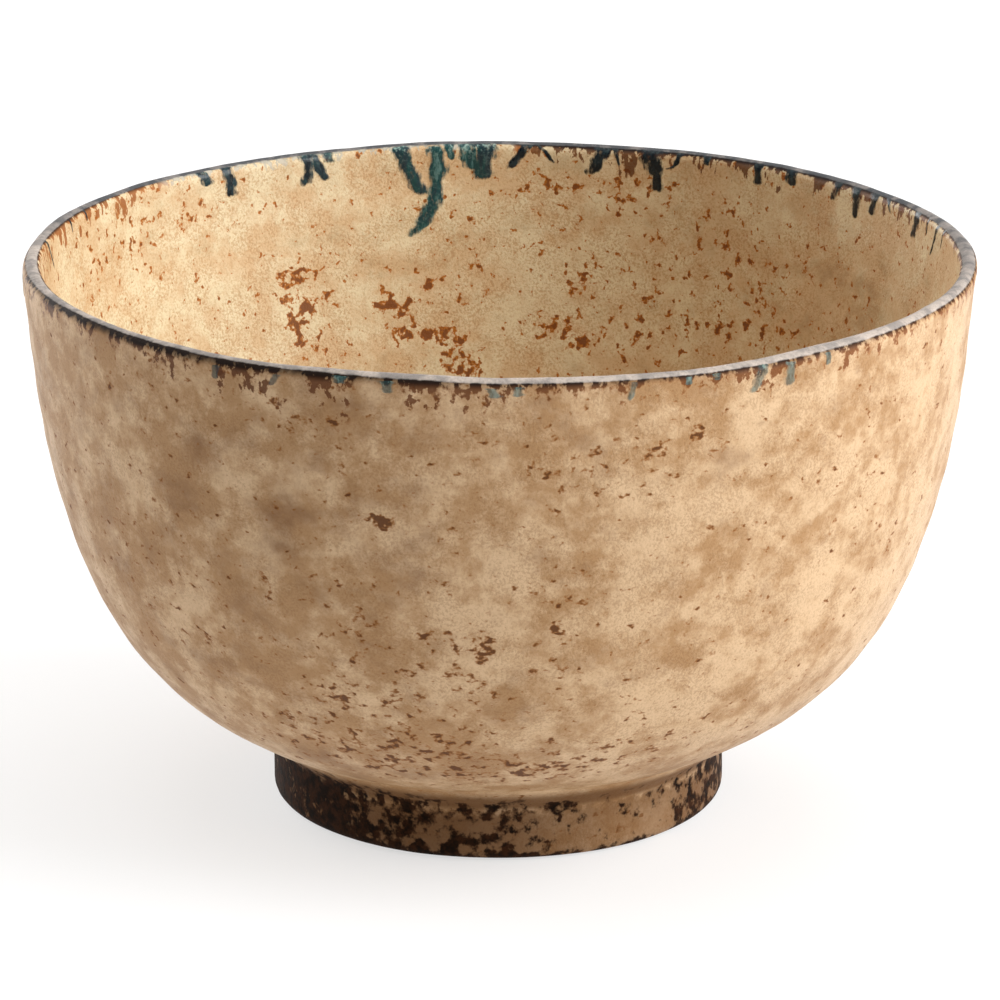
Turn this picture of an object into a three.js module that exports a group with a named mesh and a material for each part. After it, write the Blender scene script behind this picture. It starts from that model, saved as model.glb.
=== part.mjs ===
import * as THREE from 'three';

// Matcha bowl. Millimetres, +Z up, origin in the middle of the plane the foot stands on.
// One section curve (shoulder, outer wall, lip, inner wall, middle of the floor) drives every
// turned piece: the glaze coats lie between it and the same curve moved into the clay.

// ---- driving dimensions ----
const RIM_R = 60; // outermost radius, at the lip
const HEIGHT = 71.2;
const LIP_R = 1.2; // radius of the rounded lip
const LEAN = 5; // outward lean of the wall at the lip, degrees
const FLOOR_Z = 14.4; // glazed floor in the middle of the well
const SHOULDER_R = 29.3; // where the outer wall meets the foot
const SHOULDER_Z = 9.35;
const GLAZE = 0.5; // thickness of the fired glaze
const BAND = 0.015; // share of the wall curve that the lip band covers on each side

const FOOT_R = 28.7; // bare foot ring
const FOOT_WELL_R = 23.4; // recess inside the ring, at the tread
const FOOT_TAPER = 0.9; // the recess narrows by this much towards its ceiling
const TREAD_EASE = 0.9; // eased edges of the tread
const UNDERSIDE_Z = 9.8; // flat underside of the body, on which the ring is luted
const FOOT_COAT = 0.3; // thin coat on the foot's outer wall
const FOOT_COAT_Z = [1.6, 9.1];

const RUN_GAP = 0.15; // hair of air between a run and the faceted glaze coat
const RUN_RAISE = 0.45; // how far a run stands off the wall
const RUN_START = 0.6; // distance of a run's top from the lip, along the wall

const TURNS = 64;
const WALL_STEPS = 12;
const LIP_STEPS = 6;

// ---- green runs: bearing from +Y towards +X in degrees, length, width and sideways drift ----
const INNER_RUNS = [
  { bearing: -82.5, length: 4.0, width: 0.9, drift: 0.8 },
  { bearing: -38.9, length: 3.6, width: 1.5, drift: 0.1 },
  { bearing: -26.3, length: 3.7, width: 2.8, drift: 0 },
  { bearing: -13.0, length: 6.1, width: 2.0, drift: 2.0 },
  { bearing: -8.8, length: 11.4, width: 2.2, drift: -3.0 },
  { bearing: -4.6, length: 4.2, width: 3.2, drift: 1.2 },
  { bearing: 2.4, length: 3.0, width: 1.4, drift: -1.4 },
  { bearing: 13.3, length: 3.2, width: 1.8, drift: -0.9 },
  { bearing: 21.2, length: 4.9, width: 3.2, drift: 0.7 },
  { bearing: 54.6, length: 3.8, width: 1.3, drift: 0 },
  { bearing: 69.0, length: 3.3, width: 1.2, drift: -0.2 },
  { bearing: 76.0, length: 4.2, width: 0.9, drift: -1.2 },
];
const OUTER_RUNS = [
  { bearing: 165.0, length: 1.9, width: 1.2, drift: 0 },
  { bearing: 149.6, length: 2.5, width: 1.3, drift: 0.4 },
  { bearing: 145.4, length: 2.4, width: 1.1, drift: 0 },
];

// ---- materials ----
const COLOURS = {
  clay: [0x3a2a20, 0.85],
  foot: [0x4b3524, 0.8],
  outer: [0xb79a75, 0.45],
  inner: [0xc9a06c, 0.4],
  band: [0x6a5f58, 0.35],
  wash: [0x7a5a3c, 0.5],
  green: [0x1f4b4d, 0.25],
};

const group = new THREE.Group();
group.name = 'matcha_bowl';

function add(name, geometry, look) {
  const [color, roughness] = COLOURS[look];
  const mesh = new THREE.Mesh(geometry, new THREE.MeshStandardMaterial({ color, roughness, metalness: 0 }));
  mesh.name = name;
  group.add(mesh);
}

// ---- the section curve ----
const lean = THREE.MathUtils.degToRad(LEAN);
const lipCentre = new THREE.Vector2(RIM_R - LIP_R, HEIGHT - LIP_R);
const upward = new THREE.Vector2(Math.sin(lean), Math.cos(lean)); // direction of the wall at the lip

// The lip is half a circle that leans with the wall; angle 0 is its outer end
function lipPoint(angle) {
  const out = new THREE.Vector2(Math.cos(angle - lean), Math.sin(angle - lean));
  return { at: lipCentre.clone().addScaledVector(out, LIP_R), out };
}

const outerEnd = lipPoint(0).at;
const innerEnd = lipPoint(Math.PI).at;

const outerCurve = new THREE.CubicBezierCurve(
  new THREE.Vector2(SHOULDER_R, SHOULDER_Z),
  new THREE.Vector2(53.8, 17.1),
  outerEnd.clone().addScaledVector(upward, -27.6),
  outerEnd,
);
const innerCurve = new THREE.CubicBezierCurve(
  innerEnd,
  innerEnd.clone().addScaledVector(upward, -48),
  new THREE.Vector2(42.4, FLOOR_Z),
  new THREE.Vector2(0, FLOOR_Z),
);

// Points of a wall curve, each with the direction that faces out of the clay
function trace(curve, stops) {
  return stops.map((t) => {
    const along = curve.getTangent(t);
    return { at: curve.getPoint(t), out: new THREE.Vector2(along.y, -along.x) };
  });
}

const even = Array.from({ length: WALL_STEPS + 1 }, (_, i) => i / WALL_STEPS);
const outerStops = [...even.slice(0, -1), 1 - BAND];
const innerStops = [BAND, ...even.slice(1)];
const lipAngles = Array.from({ length: LIP_STEPS + 1 }, (_, i) => (Math.PI * i) / LIP_STEPS);

const outerWall = trace(outerCurve, outerStops); // shoulder to the band's outer edge
const innerWall = trace(innerCurve, innerStops); // band's inner edge to the middle of the floor
const lip = lipAngles.map(lipPoint);

const surface = (points) => points.map((p) => p.at.clone());
const inClay = (points) => points.map((p) => p.at.clone().addScaledVector(p.out, -GLAZE));

// ---- turned pieces ----
function turned(profile) {
  const geometry = new THREE.LatheGeometry(profile, TURNS);
  geometry.rotateX(Math.PI / 2);
  return geometry;
}

// A coat closes on itself: out along the surface, back along the clay
function coat(points) {
  const face = surface(points);
  return turned([...face, ...inClay(points).reverse(), face[0]]);
}

function clayBody() {
  const skin = inClay([...outerWall, ...lip, ...innerWall]);
  return turned([new THREE.Vector2(0, UNDERSIDE_Z), new THREE.Vector2(FOOT_R, UNDERSIDE_Z), ...skin]);
}

function innerGlaze() {
  return turned([...inClay(innerWall).reverse(), ...surface(innerWall)]);
}

function footRing() {
  const rounding = TREAD_EASE / 3;
  return turned([
    new THREE.Vector2(FOOT_WELL_R - FOOT_TAPER, UNDERSIDE_Z),
    new THREE.Vector2(FOOT_WELL_R, TREAD_EASE),
    new THREE.Vector2(FOOT_WELL_R + rounding, rounding),
    new THREE.Vector2(FOOT_WELL_R + TREAD_EASE, 0),
    new THREE.Vector2(FOOT_R - TREAD_EASE, 0),
    new THREE.Vector2(FOOT_R - rounding, rounding),
    new THREE.Vector2(FOOT_R, TREAD_EASE),
    new THREE.Vector2(FOOT_R, FOOT_COAT_Z[0]),
    new THREE.Vector2(FOOT_R, FOOT_COAT_Z[1]),
    new THREE.Vector2(FOOT_R, UNDERSIDE_Z),
    new THREE.Vector2(FOOT_WELL_R - FOOT_TAPER, UNDERSIDE_Z),
  ]);
}

function footCoat() {
  const [low, high] = FOOT_COAT_Z;
  const r = FOOT_R + FOOT_COAT;
  return turned([
    new THREE.Vector2(FOOT_R, low),
    new THREE.Vector2(r, low + FOOT_COAT),
    new THREE.Vector2(r, high - FOOT_COAT),
    new THREE.Vector2(FOOT_R, high),
    new THREE.Vector2(FOOT_R, low),
  ]);
}

add('clay_body', clayBody(), 'clay');
add('foot_ring', footRing(), 'foot');
add('outer_glaze', coat(outerWall), 'outer');
add('inner_glaze', innerGlaze(), 'inner');
add('rim_band', coat([outerWall.at(-1), ...lip, innerWall[0]]), 'band');
add('foot_glaze', footCoat(), 'wash');

// ---- runs ----
const INNER = { curve: innerCurve, fromLip: (s) => s, hand: 1 };
const OUTER = { curve: outerCurve, fromLip: (s) => 1 - s, hand: -1 };

// A flat-backed drop, wide at its top, bent on to the wall: u across, v down the wall, w off it
function glazeRun({ curve, fromLip, hand }, { bearing, length, width, drift }) {
  const geometry = new THREE.SphereGeometry(1, 20, 8);
  geometry.rotateX(Math.PI / 2); // poles face off the wall
  const spots = geometry.attributes.position;
  const span = length - RUN_START;
  const total = curve.getLength();
  for (let i = 0; i < spots.count; i++) {
    const down = (1 - spots.getY(i)) / 2; // 0 at the top, 1 at the tail
    const u = hand * spots.getX(i) * (width / 2) * (1.1 - 0.5 * down) + drift * down * down;
    const v = RUN_START + span * down;
    const w = RUN_GAP + Math.max(spots.getZ(i), 0) * RUN_RAISE;
    const t = fromLip(v / total);
    const along = curve.getTangentAt(t);
    const foot = curve.getPointAt(t).addScaledVector(new THREE.Vector2(along.y, -along.x), w);
    const angle = THREE.MathUtils.degToRad(bearing) + u / foot.x;
    spots.setXYZ(i, foot.x * Math.sin(angle), foot.x * Math.cos(angle), foot.y);
  }
  return geometry;
}

INNER_RUNS.forEach((run, i) => add(`green_run_in_${i + 1}`, glazeRun(INNER, run), 'green'));
OUTER_RUNS.forEach((run, i) => add(`green_run_out_${i + 1}`, glazeRun(OUTER, run), 'green'));

export default group;
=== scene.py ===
# %% [markdown]
# # A glazed matcha bowl
# The bowl is one turned stoneware body with a satin tan glaze, an iron-brown lip and green glaze
# that has run down from the lip. Everything is in metres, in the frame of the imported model, so the
# first cell loads that frame and the bowl's main sizes are taken from it.

# %% Load the frame
import math
from bisect import bisect

import bmesh
import bpy
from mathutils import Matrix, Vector, noise
from mathutils.geometry import interpolate_bezier


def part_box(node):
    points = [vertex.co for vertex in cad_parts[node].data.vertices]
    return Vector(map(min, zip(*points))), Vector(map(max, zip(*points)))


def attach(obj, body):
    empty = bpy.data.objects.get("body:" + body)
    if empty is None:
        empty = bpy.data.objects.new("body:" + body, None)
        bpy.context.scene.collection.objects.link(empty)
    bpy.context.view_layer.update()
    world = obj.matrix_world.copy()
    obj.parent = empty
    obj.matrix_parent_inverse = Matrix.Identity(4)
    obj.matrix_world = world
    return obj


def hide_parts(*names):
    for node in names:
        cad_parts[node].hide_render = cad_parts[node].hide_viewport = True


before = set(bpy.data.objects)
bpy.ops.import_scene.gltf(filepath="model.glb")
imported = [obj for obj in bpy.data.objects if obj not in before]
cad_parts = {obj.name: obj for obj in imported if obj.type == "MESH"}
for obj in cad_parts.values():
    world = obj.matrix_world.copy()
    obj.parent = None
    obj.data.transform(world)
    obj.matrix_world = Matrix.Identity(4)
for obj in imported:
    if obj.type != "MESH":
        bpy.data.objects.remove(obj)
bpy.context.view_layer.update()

MM = 0.001

# %% [markdown]
# ## The section curve
# A thrown bowl is a surface of revolution, so its whole shape is in one section: from the middle of
# the floor, up the inner wall, over the lip, down the outer wall, round a small cove and down the
# foot. A Bezier curve carries each wall, because it keeps a long wall smooth with four points. A
# place on the section is then one number, the distance along it from the crown of the lip: below
# zero inside, above zero outside. Glaze coats, lip band and runs all use that number.

# %% Section of the bowl
RIM_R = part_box("rim_band")[1].x
TOP_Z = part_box("rim_band")[1].z
FOOT_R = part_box("foot_glaze")[1].x
SHOULDER_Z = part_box("outer_glaze")[0].z
GLAZE = 0.5 * MM
FLOOR_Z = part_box("inner_glaze")[0].z + GLAZE
LIP_R = 1.2 * MM
LEAN = math.radians(5)
CURVE_STEPS = 220
LIP_STEPS = 40
COVE_R = 34.0 * MM  # radius where the outer wall turns into the cove over the foot
COVE_STEPS = 50
FLOOR_FLAT = 42.4 * MM  # these four pull on the wall's curves, as handles do in the editor
INNER_PULL = 48.0 * MM
OUTER_PULL = 27.6 * MM
COVE_PULL = 4.6 * MM


def rz(r, z):
    return Vector((r, 0.0, z))


BELLY = rz(53.8 * MM, 17.1 * MM)
wall_up = rz(math.sin(LEAN), math.cos(LEAN))
lip_middle = rz(RIM_R - LIP_R, TOP_Z - LIP_R)


def lip_point(angle):
    return lip_middle + rz(math.cos(angle), math.sin(angle)) * LIP_R


inner_top = lip_point(math.pi - LEAN)
outer_top = lip_point(-LEAN)
inner_wall = interpolate_bezier(
    rz(0, FLOOR_Z), rz(FLOOR_FLAT, FLOOR_Z), inner_top - wall_up * INNER_PULL, inner_top, CURVE_STEPS)
lip = [lip_point(math.pi - LEAN - math.pi * i / LIP_STEPS) for i in range(1, LIP_STEPS)]
outer_wall = interpolate_bezier(
    outer_top, outer_top - wall_up * OUTER_PULL, BELLY, rz(FOOT_R + 0.3 * MM, SHOULDER_Z), CURVE_STEPS)
outer_wall = [p for p in outer_wall if p.x > COVE_R]
wall_down = (outer_wall[-1] - outer_wall[-3]).normalized()
cove = interpolate_bezier(
    outer_wall[-1], outer_wall[-1] + wall_down * COVE_PULL,
    rz(FOOT_R, SHOULDER_Z - 1.1 * MM), rz(FOOT_R, SHOULDER_Z - 3.2 * MM), COVE_STEPS)[1:]
foot_wall = [rz(FOOT_R, z * MM) for z in (5.2, 4.0, 2.4, 1.3)]
foot_edge = [rz(FOOT_R - 0.12 * MM, 0.75 * MM), rz(FOOT_R - 0.5 * MM, 0.3 * MM)]
section = inner_wall + lip + outer_wall + cove + foot_wall + foot_edge

reach = [0.0]
for a, b in zip(section, section[1:]):
    reach.append(reach[-1] + (b - a).length)
crown = reach[max(range(len(section)), key=lambda i: section[i].z)]
reach = [s - crown for s in reach]
facing = []
for i in range(len(section)):
    along = section[min(i + 1, len(section) - 1)] - section[max(i - 1, 0)]
    facing.append(rz(-along.z, along.x).normalized())
facing[0] = rz(0, 1)
FLOOR_MIDDLE, FOOT_END = reach[0], reach[-1]
COVE_START = reach[len(inner_wall + lip + outer_wall) - 1]
print(f"section runs from {FLOOR_MIDDLE / MM:.1f} to {FOOT_END / MM:.1f} mm",
      f"and the cove starts at {COVE_START / MM:.1f} mm")


def on_section(s):
    """The section's point and outward direction at the signed distance s from the lip's crown."""
    i = min(max(bisect(reach, s), 1), len(reach) - 1)
    t = (s - reach[i - 1]) / (reach[i] - reach[i - 1])
    return section[i - 1].lerp(section[i], t), facing[i - 1].lerp(facing[i], t)


# %% [markdown]
# ## A hand-thrown surface
# No thrown wall is a perfect surface of revolution. Fingers leave shallow dents and rings, the lip
# dips and rises by a fraction of a millimetre, and the glaze lies in soft lumps. A modifier could
# do this per piece, but neighbouring pieces would then part along their seams. One function of the
# place on the ideal surface moves every piece alike, so coats, lip and runs stay together.

# %% Hand-made unevenness
LIP_WAVE = 0.35 * MM
LIP_WAVE_REACH = 9 * MM
FOOT_SHIFT = Vector((-0.2, 0.1, 0)) * MM  # the foot is cut a little off centre


def uneven(place):
    """How far the real surface stands off the ideal one at a place, in metres."""
    dents = noise.noise(place / (19 * MM)) * 0.24
    swells = noise.noise(place / (7.5 * MM) + Vector((5, 2, 8))) * 0.09
    lumps = noise.noise(place / (2.6 * MM) + Vector((1, 7, 3))) * 0.035
    turns = math.atan2(place.y, place.x) / math.tau
    ring = math.sin(math.tau * (place.z / (6.3 * MM) + turns)) * 0.035
    return (dents + swells + lumps + ring) * MM


def on_bowl(s, bearing, lift=0.0):
    """A place on the bowl: s along the section, bearing from +Y towards +X, lift off the wall."""
    point, out = on_section(s)
    east, north = math.sin(bearing), math.cos(bearing)
    place = Vector((point.x * east, point.x * north, point.z))
    direction = Vector((out.x * east, out.x * north, out.z))
    near_lip = math.exp(-(s / LIP_WAVE_REACH) ** 2)
    wave = noise.noise(Vector((east, north, 0)) * 1.9 + Vector((3, 1, 4))) * LIP_WAVE
    shift = FOOT_SHIFT * (1 - place.z / TOP_Z)
    calm = min(1.0, point.x / (8 * MM))  # no dents on the axis, where all bearings meet
    if s > 0:  # and smaller ones on the foot, which is turned
        calm = 0.4 + 0.6 * min(1.0, max(0.0, (place.z - 8 * MM) / (6 * MM)))
    lift += uneven(place) * calm
    return place + direction * lift + Vector((0, 0, wave * near_lip)) + shift


# %% [markdown]
# ## Turning a coat
# Each glaze coat is a thin closed shell of revolution. A Screw modifier round the axis would make
# one too, but a bmesh spin gives plain geometry that can be moved point by point afterwards.
# The profile's points carry their place on the section in two custom layers, which the spin
# copies to every new point, so each point can then be set on the uneven bowl exactly.

# %% Spin a profile and set it on the bowl
AROUND = 360
SHARP = math.radians(50)


def steps_between(a, b, pitch):
    count = max(1, round(abs(b - a) / pitch))
    return [a + (b - a) * i / count for i in range(count + 1)]


def spin_round(bm, chain, edges, around):
    """Spins a chain of points once round Z, closes the seam and turns the faces outwards."""
    bmesh.ops.spin(bm, geom=chain + edges, cent=(0, 0, 0), axis=(0, 0, 1),
                   angle=math.tau, steps=around, use_merge=True)
    bmesh.ops.remove_doubles(bm, verts=bm.verts[:], dist=0.001 * MM)
    bmesh.ops.recalc_face_normals(bm, faces=bm.faces[:])


def spun_shell(profile, around, on_axis):
    """A closed bmesh from profile points (s, lift), spun round Z; open only along the axis."""
    bm = bmesh.new()
    s_layer = bm.verts.layers.float.new("s")
    lift_layer = bm.verts.layers.float.new("lift")
    chain = []
    for s, lift in profile:
        point, out = on_section(s)
        vert = bm.verts.new((0, point.x + out.x * lift, point.z + out.z * lift))
        if on_axis and (s, lift) in (profile[0], profile[-1]):
            vert.co.y = 0
        vert[s_layer] = s
        vert[lift_layer] = lift
        chain.append(vert)
    ends = chain[1:] if on_axis else chain[1:] + chain[:1]
    edges = [bm.edges.new(pair) for pair in zip(chain, ends)]
    spin_round(bm, chain, edges, around)
    return bm, s_layer, lift_layer


def to_piece(bm, name, attributes=()):
    """Turns a bmesh into a smooth-shaded object; attributes are (name, values) per point."""
    mesh = bpy.data.meshes.new(name)
    bm.to_mesh(mesh)
    bm.free()
    mesh.shade_smooth()
    mesh.set_sharp_from_angle(angle=SHARP)
    for title, values in attributes:
        mesh.attributes.new(title, "FLOAT", "POINT").data.foreach_set("value", values)
    piece = bpy.data.objects.new(name, mesh)
    bpy.context.scene.collection.objects.link(piece)
    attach(piece, "root")
    print(f"{name}: {len(mesh.vertices)} points, {len(mesh.polygons)} faces")
    return piece


# %% [markdown]
# ## Where the iron shows
# Iron in the clay bleeds through the glaze as brown spots, thickest low on the front of the outer
# wall and in two drifts inside. Noise alone can't say where they gather, and a painted image would
# be no sharper than its own grid. So each point of the mesh carries how much iron is under it,
# summed from soft patches, and the material turns that amount into crisp little spots. Smudges work
# alike: they make the clouds darker, or paler where the strength is below zero. Some smudges on the
# outside are painted light and shade: paler on the right and front where the light falls, darker
# low on the left where the cove is in shade. A patch is: bearing in degrees, depth below the lip in
# millimetres, spread across, spread down, strength.

# %% Patches of iron
INSIDE_IRON = [
    # left drift
    (-31, 18, 1.5, 1.5, 1.5), (-28, 17, 2, 1.5, 1.4), (-26, 20, 2, 1.5, 1.3), (-33, 19.5, 2, 1, 1.1),
    (-29, 21.5, 3.5, 1.5, 1.2), (-30, 24, 1.5, 2, 1.5), (-28, 27, 4, 1.5, 1.2),
    # middle drift
    (-16, 21, 2, 1.5, 1), (-17, 22.5, 1.5, 1, 1.1), (-15, 25, 1.5, 2, 1.4), (-12, 26.5, 2.5, 1, 1.6),
    (-8, 27, 2.5, 1, 1.6), (-7, 29, 1.5, 1.5, 1.7), (-5, 31.5, 2.5, 2, 1.8), (-13, 22, 2.5, 1, 1),
    (-10, 19.5, 1.5, 1, 1), (-6, 21.5, 2, 1, 1), (-3, 17, 1.5, 1, 1.4), (-4, 11.5, 1.5, 1, 1),
    # right side, scattered
    (5, 25, 2, 1, 1.2), (8, 25, 2, 1, 1.2), (10, 27, 2.5, 1.5, 0.9), (12, 28.5, 1.5, 1, 0.8),
    (12, 18.5, 2, 2.5, 1), (19, 29, 2.5, 1.5, 0.9), (21, 25.5, 2, 1.5, 0.9), (27, 25.5, 2.5, 2, 0.8),
    (33, 24, 2.5, 2, 0.8), (39, 23.5, 2.5, 2.5, 0.8), (46, 22.5, 2.5, 2, 0.8), (56, 18.5, 2.5, 1, 0.7),
    (40, 19, 2, 1.5, 0.8), (14, 24, 10, 6, 0.25), (40, 20, 14, 7, 0.3),
    # under the lip
    (-45, 6, 3, 1, 1.3), (-60, 7, 12, 3, 0.5), (7, 6, 3, 1.5, 1), (18, 6.5, 6, 2.5, 0.8),
    (-10, 9, 4, 3, 0.4), (30, 14, 14, 5, 0.35),
    # near wall
    (150, 30, 16, 8, 1), (-145, 18, 12, 6, 1), (95, 40, 14, 9, 0.8), (-60, 55, 12, 12, 0.8),
]
OUTSIDE_IRON = [
    # low on the front
    (203, 56, 15, 5, 0.8), (199, 46, 10, 6, 0.6), (190, 52, 9, 5, 0.7), (211, 50, 2.5, 1, 1),
    (186, 60, 14, 3.5, 0.8), (172, 58, 8, 4, 0.6), (165, 53, 5, 3, 0.5), (155, 55, 8, 5, 0.4),
    # single spots up the front
    (194, 19, 1.5, 1, 4), (185, 34.5, 2, 1.5, 2), (189, 34.5, 1, 1, 1.8), (182, 36, 1.5, 1.5, 1.8),
    (195, 27, 1, 1, 1.3), (199, 28, 2, 1.5, 1), (198, 33, 3, 1.5, 1), (190, 38.5, 1.5, 1, 1.4),
    (185, 39.5, 2.5, 1, 1.4), (182, 43, 2, 2, 1.2), (198, 37, 4, 2, 0.9), (202, 44, 2.5, 2, 1),
    (192, 41, 1.5, 1, 1), (174, 12.5, 2, 1.5, 1), (173, 29, 1, 1, 1.6), (170, 29, 1, 1, 1.4),
    (173, 33, 1, 1.5, 1.4), (172, 38, 3, 6, 0.6), (162, 11, 1.5, 1, 1.3), (157, 8.5, 1.5, 1, 1.3),
    (204, 7, 8, 3, 0.8), (168, 10, 8, 5, 0.4), (228, 30, 14, 14, 0.35),
    # sides and back
    (-60, 45, 20, 12, 0.9), (40, 40, 16, 12, 0.9), (90, 55, 14, 7, 0.8), (0, 20, 12, 6, 0.8),
    (-20, 57, 16, 6, 0.9),
]


# %% Smudges in the clouds, and painted light and shade on the outside
INSIDE_SMUDGES = [
    # pale left, pale middle and dark right
    (-55, 20, 26, 16, -1), (15, 18, 22, 9, -0.8), (54, 20, 9, 6, 1.2),
    # thin dark drifts
    (23, 13, 8, 1.5, 0.9), (42, 13.5, 6, 2, 1), (51, 12.5, 5, 2, 0.8), (-14, 16.5, 5, 1.5, 0.9),
    (-21, 15.5, 4, 1.5, 0.7), (-5, 13.5, 8, 2, 0.6), (62, 12, 8, 3, 0.6), (-35, 13, 8, 3, 0.3),
    (-60, 16, 7, 3, 0.4), (34, 19, 8, 2, 0.6),
    # near wall
    (180, 22, 20, 4, 0.6), (130, 35, 14, 5, 0.6), (250, 30, 18, 5, 0.6),
]
OUTSIDE_SMUDGES_AND_SHADING = [
    # painted light and shade: pale on the right and front where the light falls, dark low on the left where
    # the cove is in shade
    (118, 32, 34, 34, -1), (158, 48, 10, 9, -1.1), (180, 26, 8, 7, -0.6), (207, 60, 14, 5, 0.9),
    # small dark clouds on the front
    (217, 13, 4, 4, 1), (221, 19, 5, 3, 0.8), (204, 20, 5, 3, 0.9), (199, 6.5, 9, 2.5, 0.6),
    (206, 31, 6, 2.5, 0.8), (212, 34, 4, 4, 0.7), (192, 25, 5, 2.5, 0.6), (173, 30, 3.5, 2.5, 0.9),
    (172, 42.5, 4, 2.5, 0.6), (184, 35, 4, 3, 0.5), (226, 27, 6, 5, 0.7), (215, 44, 5, 3, 0.6),
    (150, 13, 5, 2.5, 0.4), (155, 40, 6, 2.5, 0.4), (140, 24, 5, 3, 0.4), (200, 27, 10, 8, 0.45),
    # sides and back
    (60, 30, 14, 6, 0.6), (320, 25, 14, 6, 0.6), (0, 45, 18, 6, 0.5),
]
PATCH_REACH = 2.6  # past this many spreads from its middle a patch adds nothing


def patch_sum(patches, bearing, depth, radius):
    """Adds up soft patches at a bearing (degrees) and depth (mm) on a wall of that radius (mm)."""
    total = 0.0
    for middle, low, across, down, strength in patches:
        v = (depth - low) / down
        if abs(v) < PATCH_REACH:
            u = math.radians((bearing - middle + 180) % 360 - 180) * radius / across
            if abs(u) < PATCH_REACH:
                total += strength * math.exp(-(u * u + v * v))
    return total


# %% [markdown]
# ## How the lip bleeds
# Lines go round the bowl, each a list of (bearing, value) joined by straight lines. Each side has
# three: how deep the lip's own iron reaches, how much further its fringe hangs in drips, both in
# millimetres, and how burnt the fringe is, from orange at 0 to near black at 1, with pale frost
# below 0. Two more are for the crown: how bright its painted sheen is, a painted reflection that is
# strongest at the front, and how far down the grey crown shows. Numbers by bearing are easier to
# judge and change than masks.

# %% Lines round the lip
INSIDE_EDGE = [(-180, 1.1), (-90, 1), (-55, 0.8), (0, 0.8), (9, 1.1), (46, 1.1), (60, 1), (180, 1.1)]
INSIDE_FRINGE = [
    (-180, 2.4), (-120, 3.4), (-90, 5.0), (-66, 4.6), (-56, 3.4), (-50, 1.2), (-44, 1.4), (-20, 1.2),
    (2, 1.4), (8, 3.4), (30, 3.8), (46, 3.4), (60, 2.6), (75, 2.0), (120, 2.6), (180, 2.4)]
INSIDE_BURN = [
    (-180, 0.4), (-90, 0.1), (-55, 0.15), (-48, -0.6), (1, -0.6), (5, 0.8), (46, 0.85), (70, 0.7),
    (180, 0.4)]
OUTSIDE_EDGE = [
    (-180, 1.3), (-158, 1.4), (-140, 1.55), (-128, 1.55), (-116, 1.3), (-104, 1), (-90, 0.9), (0, 1.6),
    (60, 1.3), (110, 1.1), (140, 1.15), (180, 1.3)]
OUTSIDE_FRINGE = [
    (-180, 3.4), (-172, 4.6), (-155, 6.0), (-146, 5.0), (-138, 3.0), (-120, 2.2), (-60, 2.8), (0, 3.6),
    (60, 2.8), (115, 2.2), (140, 3.8), (158, 4.0), (166, 3.0), (174, 2.4), (180, 3.4)]
OUTSIDE_BURN = [
    (-180, 0.75), (-150, 0.85), (-120, 0.9), (0, 0.7), (120, 0.5), (160, 0.65), (180, 0.75)]
# how bright the crown is: painted sheen, a reflection of the white surround painted in, strongest at the
# front
CROWN_SHEEN = [
    (-180, 0.9), (-150, 0.75), (-115, 0.7), (-100, 0.8), (-85, 0.8), (-75, 0.4), (-60, 0.1), (60, 0.15),
    (80, 0.45), (95, 0.5), (110, 0.75), (130, 0.95), (180, 0.9)]
CROWN = [
    (-180, 1.05), (-165, 0.9), (-150, 0.7), (-115, 0.6), (-98, 0.85), (-75, 0.75), (60, 0.75), (90, 1),
    (180, 1.05)]


def read_off(line, bearing):
    """The value of a line at a bearing in degrees."""
    bearing = (bearing + 180) % 360 - 180
    for (b0, v0), (b1, v1) in zip(line, line[1:]):
        if b0 <= bearing <= b1:
            return v0 + (v1 - v0) * (bearing - b0) / (b1 - b0)
    return line[-1][1]


# %% What each point of the glaze carries
MARKS = ("depth", "edge", "fringe", "burn", "painted_sheen", "crown", "iron", "smudge_and_shading")


def glaze_marks(s, place):
    """What the glaze at a point carries: one value for each name in MARKS."""
    bearing = math.degrees(math.atan2(place.x, place.y))
    depth, radius = abs(s) / MM, math.hypot(place.x, place.y) / MM
    if s < 0:
        lines, iron, smudge_and_shading = (INSIDE_EDGE, INSIDE_FRINGE, INSIDE_BURN), INSIDE_IRON, INSIDE_SMUDGES
    else:
        lines, iron, smudge_and_shading = (OUTSIDE_EDGE, OUTSIDE_FRINGE, OUTSIDE_BURN), OUTSIDE_IRON, OUTSIDE_SMUDGES_AND_SHADING
    return (depth, *(read_off(line, bearing) for line in (*lines, CROWN_SHEEN, CROWN)),
            patch_sum(iron, bearing, depth, radius), patch_sum(smudge_and_shading, bearing, depth, radius))


def named_columns(rows, names):
    """Turns one tuple per point into (name, values) pairs."""
    return list(zip(names, zip(*rows)))


# %% [markdown]
# ## The coats
# Outside, the glaze reaches from the lip band to the cove over the foot. Inside it covers the whole
# well. The lip band is a narrow coat between them, cut finer because its edge is what the eye
# follows. The back of each coat lies in the clay where nobody sees it, so it has few rows.

# %% Glaze coats and lip band
BAND_IN, BAND_OUT = -2.1 * MM, 2.3 * MM


def coat(name, start, end, pitch, replaced, around=AROUND, on_axis=False):
    front = [(s, 0.0) for s in steps_between(start, end, pitch)]
    back = [(s, -GLAZE) for s in steps_between(end, start, 7 * MM)]
    bm, s_layer, lift_layer = spun_shell(front + back, around, on_axis)
    for vert in bm.verts:
        vert.co = on_bowl(vert[s_layer], math.atan2(vert.co.x, vert.co.y), vert[lift_layer])
    marks = named_columns([glaze_marks(vert[s_layer], vert.co) for vert in bm.verts], MARKS)
    piece = to_piece(bm, name, marks)
    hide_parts(replaced)
    return piece


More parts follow.
